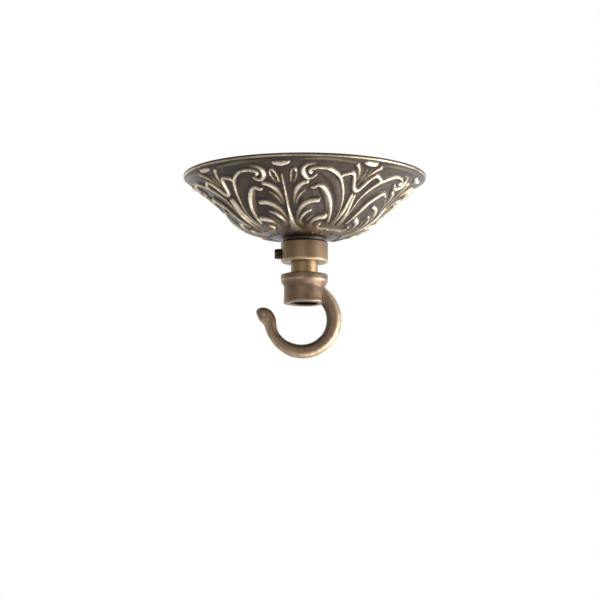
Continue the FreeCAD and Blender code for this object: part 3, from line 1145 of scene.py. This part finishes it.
@dataclass
class HangingTube:
    """The threaded tube, the plain sleeve over it and the bush in its top.

    Attributes:
        tube_box: box of the tube's solid.
        sleeve_box: box of the sleeve's solid.
        bush_box: box of the bush's solid.
        bush_flange: thickness of the bush's flange.
        flare: of the bush's mouth.
    """

    tube_box: Extent
    sleeve_box: Extent
    bush_box: Extent
    tube_bore: float = 3.5 * MM
    sleeve_bore: float = 5.05 * MM
    bush_bore: float = 2.5 * MM
    bush_flange: float = 1.5 * MM
    flare: float = 0.5 * MM
    pitch: float = 1.0 * MM
    thread_depth: float = 0.45 * MM

    def tube(self) -> Piece:
        """Turns the tube with its thread from end to end.

        Returns:
            The tube.
        """
        box = self.tube_box
        root = box.radius - self.thread_depth
        turns = int(box.length / self.pitch)
        piece = turned([(self.tube_bore, box.foot), (root, box.foot),
                        *thread(root, box.radius, box.foot, self.pitch, turns),
                        (root, box.top), (self.tube_bore, box.top)], 64)
        smooth(piece, 30.0)
        return piece

    def sleeve(self) -> Piece:
        """Turns the plain sleeve with broken ends.

        Returns:
            The sleeve.
        """
        box = self.sleeve_box
        piece = turned([(self.sleeve_bore, box.foot), (box.radius, box.foot),
                        (box.radius, box.top), (self.sleeve_bore, box.top)], 96)
        soften(piece, 0.15 * MM)
        # The sleeve's right side is painted paler as a painted highlight.
        mark(piece, "wear", 0.15 * step_between(corners(piece)[:, 0], 1.5 * MM, 4.5 * MM))
        return piece

    def bush(self) -> Piece:
        """Turns the bush with its rounded flange and flared mouth.

        Returns:
            The bush.
        """
        box = self.bush_box
        skirt = self.tube_bore - 0.05 * MM
        seat = box.top - self.bush_flange
        piece = turned([
            (self.bush_bore, box.foot), (skirt, box.foot), (skirt, seat), (box.radius, seat),
            (box.radius, seat + self.bush_flange / 2),
            (box.radius - self.bush_flange / 2, box.top), (self.bush_bore + self.flare, box.top),
            (self.bush_bore, box.top - self.flare)], 64)
        soften(piece, 0.2 * MM)
        return piece

    def build(self) -> None:
        """Makes and dresses the three."""
        hand_over(self.tube(), "threaded_tube_m10", Body.HANGER, ZincSteel(), "threaded_tube")
        hand_over(self.sleeve(), "spacer_sleeve_drawn", Body.HANGER, DrawnBrassTube(),
                  "spacer_sleeve")
        hand_over(self.bush(), "bush_moulded", Body.HANGER, MouldedNylon(), "tube_bush")


# Hook


@dataclass
class HookCasting:
    """Flange, barrel and round bar, cast in one and filed by hand.

    Attributes:
        top: from the solid's box.
        ring_x: place of the ring's centre along X.
        ring_drop: how far its centre lies below the top.
        ring_radius: radius of the bar's centre line.
        bar_sizes: degrees round the ring and the bar's radius there in millimetres.
        tip_bend: radius of the outward turn at the tip.
        tip_sizes: shares of the tip's length and of its width.
        voxel: grain that the casting's skin is rebuilt at.
        wave_mm: length of the skin's waves and of the ripples on them.
        lip_line: height above the mouth where the lip gets a painted highlight, and its reach.
        edge_line: height above the flange's foot where its edge gets a painted highlight, and its
            reach.
        cove_line: the same for the painted shade in the cove below the flange.
    """

    top: float
    flange_radius: float = 10.5 * MM
    flange_height: float = 3.2 * MM
    neck_radius: float = 9.1 * MM
    lip_radius: float = 9.3 * MM
    height: float = 13.15 * MM
    mouth_radius: float = 6.3 * MM
    mouth_depth: float = 6.4 * MM
    bore: float = 5.05 * MM
    ring_x: float = -1.0 * MM
    ring_drop: float = 20.2 * MM
    ring_radius: float = 14.15 * MM
    bar_sizes: tuple[Spot, ...] = (
        (-170.0, 2.82), (-160.0, 2.6), (-145.0, 2.52), (-130.0, 2.67), (-110.0, 3.0),
        (-90.0, 3.12), (-50.0, 3.22), (0.0, 3.4), (56.0, 3.5))
    tip_length: float = 9.5 * MM
    tip_bend: float = 7.5 * MM
    tip_width: float = 3.55 * MM
    tip_thick: float = 2.9 * MM
    tip_sizes: tuple[Spot, ...] = (
        (0.245, 0.93), (0.465, 1.0), (0.63, 0.945), (0.785, 0.75), (0.92, 0.45), (0.98, 0.22),
        (1.0, 0.05))
    voxel: float = 0.24 * MM
    wave_height: float = 0.11 * MM
    wave_mm: Spot = (6.0, 2.2)
    # The ring's outer side and the lip get painted highlights.
    ring_wear: float = 0.9
    lip_wear: float = 0.7
    # The cove below the flange gets painted shade.
    cove_dark: float = 0.3
    lip_line: Spot = (0.5 * MM, 0.35 * MM)
    edge_line: Spot = (0.3 * MM, 0.4 * MM)
    cove_line: Spot = (-1.6 * MM, 0.8 * MM)

    def barrel(self) -> Piece:
        """Turns flange, cove and barrel as one blank, bored right through.

        Returns:
            The blank.
        """
        band, foot = self.top - self.flange_height, self.top - self.height
        # Each shoulder's corners, in millimetres from its own radius and height.
        shoulders = (
            (self.flange_radius, self.top, ((-0.6, 0.0), (-0.15, -0.2), (0.0, -0.6))),
            (self.flange_radius, band, ((0.0, 0.2), (-0.12, -0.2))),
            (self.neck_radius, band, ((0.98, -0.75), (0.68, -1.3), (0.34, -1.8), (0.1, -2.35),
                                      (0.0, -3.0), (0.0, -5.5))),
            (self.neck_radius, foot, ((0.06, 2.2),)),
            (self.lip_radius, foot, ((0.0, 1.0), (0.0, 0.5), (-0.15, 0.12), (-0.5, 0.0))),
            (self.mouth_radius, foot, ((0.5, 0.0), (0.0, 0.4))))
        outside = [(r + out * MM, z + up * MM) for r, z, rows in shoulders for out, up in rows]
        return turned([(self.bore, self.top), *outside,
                       (self.mouth_radius, foot + self.mouth_depth),
                       (self.bore, foot + self.mouth_depth)], 96)

    def bar_line(self) -> list[Triple]:
        """The bar's centre line and thickness: round the ring, then out to the tip.

        Returns:
            Rows of x, z and radius.
        """
        turns, sizes = zip(*self.bar_sizes)
        ring_z = self.top - self.ring_drop
        rows = []
        for degrees in np.linspace(turns[-1], turns[0], 54):
            turn = math.radians(degrees)
            rows.append((self.ring_x + self.ring_radius * math.cos(turn),
                         ring_z + self.ring_radius * math.sin(turn),
                         float(np.interp(degrees, turns, sizes)) * MM))
        x, z, neck = rows[-1]
        turn = math.radians(turns[0])
        heading = (math.sin(turn), -math.cos(turn))
        outward = (-heading[1], heading[0])
        shares, sizes = zip((0.0, neck / self.tip_width), *self.tip_sizes)
        for share in (*np.linspace(0.06, 0.92, 15), 0.95, 0.975, 0.99, 1.0):
            bend = share * self.tip_length / self.tip_bend
            ahead, aside = self.tip_bend * math.sin(bend), self.tip_bend * (1 - math.cos(bend))
            rows.append((x + heading[0] * ahead + outward[0] * aside,
                         z + heading[1] * ahead + outward[1] * aside,
                         float(np.interp(share, shares, sizes)) * self.tip_width))
        return rows

    def bar(self) -> Piece:
        """Bends the round bar along its line and flattens its tip.

        Returns:
            The bar.
        """
        deselect_all()
        rows = self.bar_line()
        bpy.ops.curve.primitive_nurbs_path_add()
        path = bpy.context.object
        path.data.splines.clear()
        spline = path.data.splines.new("POLY")
        spline.points.add(len(rows) - 1)
        for point, (x, z, size) in zip(spline.points, rows):
            point.co = (x, 0.0, z, 1.0)
            point.radius = size / MM
        path.data.bevel_depth = MM
        path.data.bevel_resolution = 10
        path.data.use_fill_caps = True
        bpy.ops.object.convert(target="MESH")
        piece = bpy.context.object
        bpy.ops.object.mode_set(mode="EDIT")
        close_up()
        places = corners(piece)
        up = places[:, 2] - self.top + self.ring_drop + 3.0 * MM
        tip = step_between(up, 0.0, 4.0 * MM) * (places[:, 0] < self.ring_x - self.ring_radius / 2)
        places[:, 1] *= 1.0 - tip * (1.0 - self.tip_thick / self.tip_width)
        move_corners(piece, places)
        return piece

    def opening(self) -> Piece:
        """Makes a cutter for the mouth and bore, so that the bar's root doesn't fill them.

        Returns:
            The cutter.
        """
        foot = self.top - self.height
        return turned([(0.0, foot - MM), (self.mouth_radius, foot - MM),
                       (self.mouth_radius, foot + self.mouth_depth),
                       (self.bore, foot + self.mouth_depth), (self.bore, self.top + MM),
                       (0.0, self.top + MM)], 96)

    def roughen(self, piece: Piece) -> None:
        """Gives the skin the slight waves of a hand-filed casting, and marks painted highlights and
        shade.

        Args:
            piece: the hook.
        """
        places, normals = corners(piece), corners(piece, "normal")
        band, foot = self.top - self.flange_height, self.top - self.height
        out = np.hypot(places[:, 0], places[:, 1])
        ripple = waves(places, self.wave_mm[1], (7.0, 3.0, 1.0))
        lift = (waves(places, self.wave_mm[0]) - 0.5 + (ripple - 0.5) * 0.3) * self.wave_height
        lift *= step_between(out, self.mouth_radius + 0.3 * MM, self.mouth_radius + 1.2 * MM)
        places += normals * lift[:, None]
        x, z = places[:, 0], places[:, 2]
        away = np.hypot(x - self.ring_x, z - self.top + self.ring_drop)
        # The bar, apart from the barrel: below the mouth, or beside it at the bar's root.
        ring = (z < foot - 0.5 * MM) | ((out > self.lip_radius + 0.15 * MM)
                                        & (z < band - 2.5 * MM))
        skin_side = step_between(out, self.mouth_radius + 1.5 * MM, self.neck_radius - 0.2 * MM)
        # Painted highlights on the lip above the mouth, the flange's lower edge and the ring's outer
        # side.
        lip = bell(z - foot, *self.lip_line) * (1.0 - step_between(x, 6.5 * MM, 8.5 * MM))
        edge = bell(z - band, *self.edge_line)
        outer = step_between(away, self.ring_radius - 0.7 * MM, self.ring_radius + 2.6 * MM)
        past = step_between(self.ring_x - self.ring_radius - x, 0.0, 2.0 * MM)
        outer *= 1.0 - 0.65 * past * (z > self.top - self.ring_drop)
        wear = np.where(ring, outer * self.ring_wear, (lip * self.lip_wear + edge) * skin_side)
        # Faces turned down are painted a little paler as painted light from below.
        below = step_between(-normals[:, 2], 0.2, 0.8)
        mark(piece, "wear", np.clip(wear * (0.8 + 0.5 * ripple) + 0.05 * below, 0.0, 1.0))
        # Painted shade inside the ring, in the bore and mouth, and in the cove below the flange.
        inner = step_between(self.ring_radius - away, 2.4 * MM, 3.0 * MM)
        bore = 1.0 - step_between(out, self.mouth_radius - 0.1 * MM, self.mouth_radius + 0.4 * MM)
        cove = bell(z - band, *self.cove_line) * skin_side * self.cove_dark
        mark(piece, "hollow",
             np.where(ring, inner, np.maximum(bore * (z > foot - 0.2 * MM), cove)))
        move_corners(piece, places)

    def build(self) -> None:
        """Makes and dresses the hook."""
        piece = self.barrel()
        combine(piece, self.bar(), Joining.UNITE)
        combine(piece, self.opening())
        apply_modifier(piece, "REMESH", mode="VOXEL", voxel_size=self.voxel)
        apply_modifier(piece, "SMOOTH", iterations=4, factor=0.5)
        self.roughen(piece)
        take(piece)
        bpy.ops.object.shade_smooth()
        hand_over(piece, "hook_cast", Body.HANGER, CastHookBrass(), "hook")


# Strap and what is fixed to it


@dataclass
class StrapAssembly:
    """The pressed strap, both locknuts, their washers and the earth terminal.

    Attributes:
        box: box of the strap's solid.
        upper: box of the upper nut's solid.
        lower: box of the lower nut's solid.
        thick: sheet thickness.
        drop: how far the middle hangs below the ceiling.
        foot_length: length of each raised foot.
        bend_run: length over which the strip rises to its foot.
        corner: radius of the feet's corners.
        nut_flats: width of a nut across its flats.
        facing: how much is turned off a nut's corners.
    """

    box: Extent
    upper: Extent
    lower: Extent
    thick: float = 2.0 * MM
    drop: float = 8.0 * MM
    foot_length: float = 12.5 * MM
    bend_run: float = 2.5 * MM
    corner: float = 3.0 * MM
    screw_spread: float = 32.0 * MM
    screw_hole: float = 2.25 * MM
    bore: float = 5.05 * MM
    earth_x: float = -17.0 * MM
    earth_radius: float = 2.0 * MM
    earth_root: float = 1.7 * MM
    earth_pitch: float = 0.7 * MM
    earth_turns: int = 11
    earth_length: float = 8.0 * MM
    nut_flats: float = 14.0 * MM
    facing: float = 0.9 * MM
    washer_radius: float = 8.6 * MM
    teeth: int = 12
    tooth_depth: float = 1.1 * MM

    def strap(self) -> Piece:
        """Extrudes a flat strip along its bends, drills it and rolls its edges.

        Returns:
            The strap.
        """
        deselect_all()
        bend_x = self.box.high.x - self.foot_length - self.bend_run
        bpy.ops.mesh.primitive_plane_add(size=1.0, location=(0.0, 0.0, -self.drop))
        piece = bpy.context.object
        piece.scale = (2.0 * bend_x, 2.0 * self.box.high.y, 1.0)
        settle(piece)
        bpy.ops.object.mode_set(mode="EDIT")
        for side in (-1.0, 1.0):
            for run, climb in ((self.bend_run, self.drop), (self.foot_length, 0.0)):
                mesh = bmesh.from_edit_mesh(piece.data)
                reach = max(v.co.x * side for v in mesh.verts)
                bpy.ops.mesh.select_all(action="DESELECT")
                for vertex in mesh.verts:
                    vertex.select_set(abs(vertex.co.x * side - reach) < SAME)
                mesh.select_flush(True)
                bmesh.update_edit_mesh(piece.data)
                bpy.ops.mesh.extrude_region_move(
                    TRANSFORM_OT_translate={"value": (side * run, 0.0, climb)})
        close_up()
        up = sum(face.normal.z for face in piece.data.polygons)
        apply_modifier(piece, "SOLIDIFY", thickness=self.thick,
                       offset=-1.0 if up > 0.0 else 1.0, use_even_offset=True)
        self.round_corners(piece)
        for x, radius in ((-self.screw_spread, self.screw_hole),
                          (self.screw_spread, self.screw_hole), (0.0, self.bore),
                          (self.earth_x, self.earth_radius + 0.05 * MM)):
            drill(piece, radius, 30.0 * MM, (x, 0.0, -self.drop))
        soften(piece, 0.3 * MM)
        return piece

    def round_corners(self, piece: Piece) -> None:
        """Rounds the four corners of the strip's ends.

        Args:
            piece: the strip.
        """
        take(piece)
        bpy.ops.object.mode_set(mode="EDIT")
        bpy.ops.mesh.select_all(action="DESELECT")
        mesh = bmesh.from_edit_mesh(piece.data)
        bpy.ops.mesh.select_mode(type="EDGE")
        for edge in mesh.edges:
            ends = [v.co for v in edge.verts]
            edge.select_set(all(abs(abs(p.x) - self.box.high.x) < SAME for p in ends)
                            and abs(ends[0].z - ends[1].z) > self.thick / 2)
        bmesh.update_edit_mesh(piece.data)
        bpy.ops.mesh.bevel(offset=self.corner, segments=8, affect="EDGES")
        bpy.ops.mesh.select_mode(type="VERT")
        bpy.ops.object.mode_set(mode="OBJECT")

    def locknut(self, top: float) -> Piece:
        """Makes a hexagon nut with turned-off corners.

        Args:
            top: height of its upper face.

        Returns:
            The nut.
        """
        corner = self.nut_flats / math.sqrt(3.0)
        foot = top - self.upper.length
        mouth, lead = self.bore + 1.4 * MM, 0.4 * MM
        deselect_all()
        bpy.ops.mesh.primitive_cylinder_add(
            vertices=6, radius=corner, depth=self.upper.length,
            location=(0.0, 0.0, (top + foot) / 2), rotation=(0.0, 0.0, math.radians(30.0)))
        nut = bpy.context.object
        settle(nut)
        combine(nut, turned([
            (0.0, foot), (corner - self.facing, foot), (corner, foot + 0.5 * MM),
            (corner, top - 0.5 * MM), (corner - self.facing, top), (0.0, top)], 96),
            Joining.TRIM)
        combine(nut, turned([
            (0.0, foot - MM), (mouth, foot - MM), (self.bore, foot + lead),
            (self.bore, top - lead), (mouth, top + MM), (0.0, top + MM)], 64))
        soften(nut, 0.12 * MM, 2, 25.0)
        return nut

    def toothed_washer(self) -> Piece:
        """Turns the lock washer and notches its teeth out.

        Returns:
            The washer.
        """
        top, foot, radius = -self.drop - self.thick, self.lower.top, self.washer_radius
        washer = turned([(self.bore, foot), (radius, foot), (radius, top), (self.bore, top)], 96)
        gap = math.pi * radius / self.teeth
        for i in range(self.teeth):
            turn = math.tau * i / self.teeth
            combine(washer, block((self.tooth_depth * 2.0, gap, 4.0 * MM),
                                  (radius * math.cos(turn), radius * math.sin(turn), foot), turn))
        soften(washer, 0.1 * MM, 2, 30.0)
        return washer

    def earth_screw(self, head_top: float) -> Piece:
        """Turns the pan head screw with its thread and slots its head.

        Args:
            head_top: height where its head meets the washer.

        Returns:
            The screw.
        """
        head_foot, end = head_top - 2.6 * MM, head_top + self.earth_length
        screw = turned([
            (0.0, head_foot), (2.6 * MM, head_foot), (3.5 * MM, head_foot + 0.4 * MM),
            (3.95 * MM, head_foot + 1.2 * MM), (4.0 * MM, head_top), (self.earth_root, head_top),
            *thread(self.earth_root, self.earth_radius, head_top, self.earth_pitch,
                    self.earth_turns), (self.earth_root, end), (0.0, end)], 40)
        combine(screw, block((12.0 * MM, 1.1 * MM, 2.4 * MM), (0.0, 0.0, head_foot)))
        screw.location = (self.earth_x, 0.0, 0.0)
        settle(screw)
        soften(screw, 0.06 * MM, 2, 30.0)
        return screw

    def build(self) -> None:
        """Makes and dresses the strap and all that is fixed to it."""
        zinc, brass = ZincSteel(), MachinedBrass()
        earth_low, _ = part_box("earth_washer")
        for piece, name, finish, node in (
                (self.strap(), "strap_pressed", zinc, "ceiling_strap"),
                (self.locknut(self.upper.top), "locknut_above", brass, "upper_locknut"),
                (self.locknut(self.lower.top), "locknut_below", brass, "lower_locknut"),
                (self.toothed_washer(), "washer_toothed", zinc, "toothed_washer"),
                (self.earth_screw(earth_low.z), "earth_screw_slotted", brass, "earth_screw")):
            hand_over(piece, name, Body.HANGER, finish, node)
        dress_node("plain_washer", zinc)
        dress_node("earth_washer", brass)


# Studio


@dataclass
class Studio:
    """Camera, lamps, pale floor and white surroundings.

    Attributes:
        distance: from the object's axis to the camera.
        below: how far the camera stands below the ceiling plane.
        aside: how far it stands to the left of the axis.
        pitch: degrees it looks up.
        roll: degrees it leans.
        focal: focal length in frame widths.
        frame_width: of the camera's film, in millimetres.
        aim: what the lamps face.
    """

    distance: float = 1.0
    below: float = 0.1957
    aside: float = -0.0019
    pitch: float = 7.985
    roll: float = 0.2
    focal: float = 2282.0 / 600.0
    frame_width: float = 36.0
    floor_height: float = -1.6
    aim: Triple = (0.0, 0.0, -0.03)

    def camera(self) -> None:
        """Sets the camera at the photograph's angle."""
        data = bpy.data.cameras.new("camera")
        data.sensor_width = self.frame_width
        data.lens = self.frame_width * self.focal
        camera = bpy.data.objects.new("camera", data)
        bpy.context.scene.collection.objects.link(camera)
        camera.matrix_world = (Matrix.Translation((self.aside, -self.distance, -self.below))
                               @ Matrix.Rotation(math.radians(90.0 + self.pitch), 4, "X")
                               @ Matrix.Rotation(math.radians(self.roll), 4, "Z"))
        bpy.context.scene.camera = camera

    def lamp(self, name: str, place: Triple, size: Spot, watts: float, colour: str) -> None:
        """Hangs an area lamp that faces the object.

        Args:
            name: the lamp's name.
            place: where it stands.
            size: its width and height.
            watts: its power.
            colour: its colour.
        """
        data = bpy.data.lights.new(name, "AREA")
        data.shape = "RECTANGLE"
        data.size, data.size_y = size
        data.energy = watts
        data.color = linear(colour)[:3]
        lamp = bpy.data.objects.new(name, data)
        bpy.context.scene.collection.objects.link(lamp)
        lamp.location = place
        lamp.visible_camera = False
        way = Vector(self.aim) - lamp.location
        lamp.rotation_euler = way.to_track_quat("-Z", "Y").to_euler()

    def floor(self) -> None:
        """Lays a wide pale floor far below, a little brighter for the camera alone."""
        deselect_all()
        bpy.ops.mesh.primitive_plane_add(size=8.0, location=(0.0, 0.0, self.floor_height))
        floor = bpy.context.object
        floor.name = "floor"
        material = bpy.data.materials.new("painted_board_matt")
        tree = empty_tree(material)
        matt = add_node(tree, "BsdfDiffuse", {"Color": linear("#f1f0f2")})
        rays = add_node(tree, "LightPath")
        glow = add_node(tree, "Emission", {"Color": linear("#ffffff"), "Strength": 0.35})
        both = add_node(tree, "AddShader", {0: matt.outputs[0], 1: glow.outputs[0]})
        seen = add_node(tree, "MixShader", {0: rays.outputs["Is Camera Ray"], 1: matt.outputs[0],
                                            2: both.outputs[0]})
        add_node(tree, "OutputMaterial", {"Surface": seen.outputs[0]})
        floor.data.materials.append(material)

    def world(self) -> None:
        """Makes all white round the camera, and a white sweep with a dimmer room for metal."""
        world = bpy.data.worlds.new("studio")
        bpy.context.scene.world = world
        tree = empty_tree(world)
        rays = add_node(tree, "LightPath")
        way = add_node(tree, "TexCoord")
        slant = add_node(tree, "VectorMath", {0: way.outputs["Generated"], 1: (0.6, 0.8, 0.0)},
                         operation="DOT_PRODUCT")
        sweep = add_node(tree, "MapRange", {0: slant.outputs["Value"], 1: -0.6, 2: 0.35,
                                            3: 0.36, 4: 1.0})
        level = add_node(tree, "Mix", {0: rays.outputs["Is Camera Ray"], 2: sweep.outputs[0],
                                       3: 1.0}, data_type="FLOAT")
        sky = add_node(tree, "Background", {"Color": linear("#ffffff"),
                                            "Strength": level.outputs[0]})
        add_node(tree, "OutputWorld", {"Surface": sky.outputs[0]})

    def build(self) -> None:
        """Sets everything up."""
        self.camera()
        self.floor()
        self.world()
        self.lamp("key", (1.05, -0.1, -0.5), (1.0, 1.0), 13.0, "#ffffff")
        self.lamp("fill", (-0.3, -1.0, 0.2), (0.9, 0.9), 1.2, "#fffaf4")
        self.lamp("bounce", (0.5, -0.3, -1.05), (1.2, 1.0), 4.8, "#ffffff")
        self.lamp("rear", (0.9, 0.95, -0.7), (0.9, 0.9), 2.5, "#fbf8ff")
        bpy.context.scene.view_settings.view_transform = "Standard"


def main() -> None:
    """Builds the studio and every sub-assembly, each from the solids' own boxes."""
    logging.basicConfig(level=logging.INFO, format="%(message)s")
    Studio().build()
    low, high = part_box("canopy")
    # The photograph shows canopy and collar meeting a little lower than in the solids.
    seat = low.z - 0.8 * MM
    CanopyCasting(rim_radius=(high.x - low.x) / 2, foot=seat).build()
    CollarAssembly(Extent(*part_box("slip_collar")), Extent(*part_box("collar_screw")), seat).build()
    HangingTube(Extent(*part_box("threaded_tube")), Extent(*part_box("spacer_sleeve")),
                Extent(*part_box("tube_bush"))).build()
    _, hook_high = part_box("hook")
    HookCasting(top=hook_high.z).build()
    StrapAssembly(Extent(*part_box("ceiling_strap")), Extent(*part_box("upper_locknut")),
                  Extent(*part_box("lower_locknut"))).build()


if __name__ == "__main__":
    main()
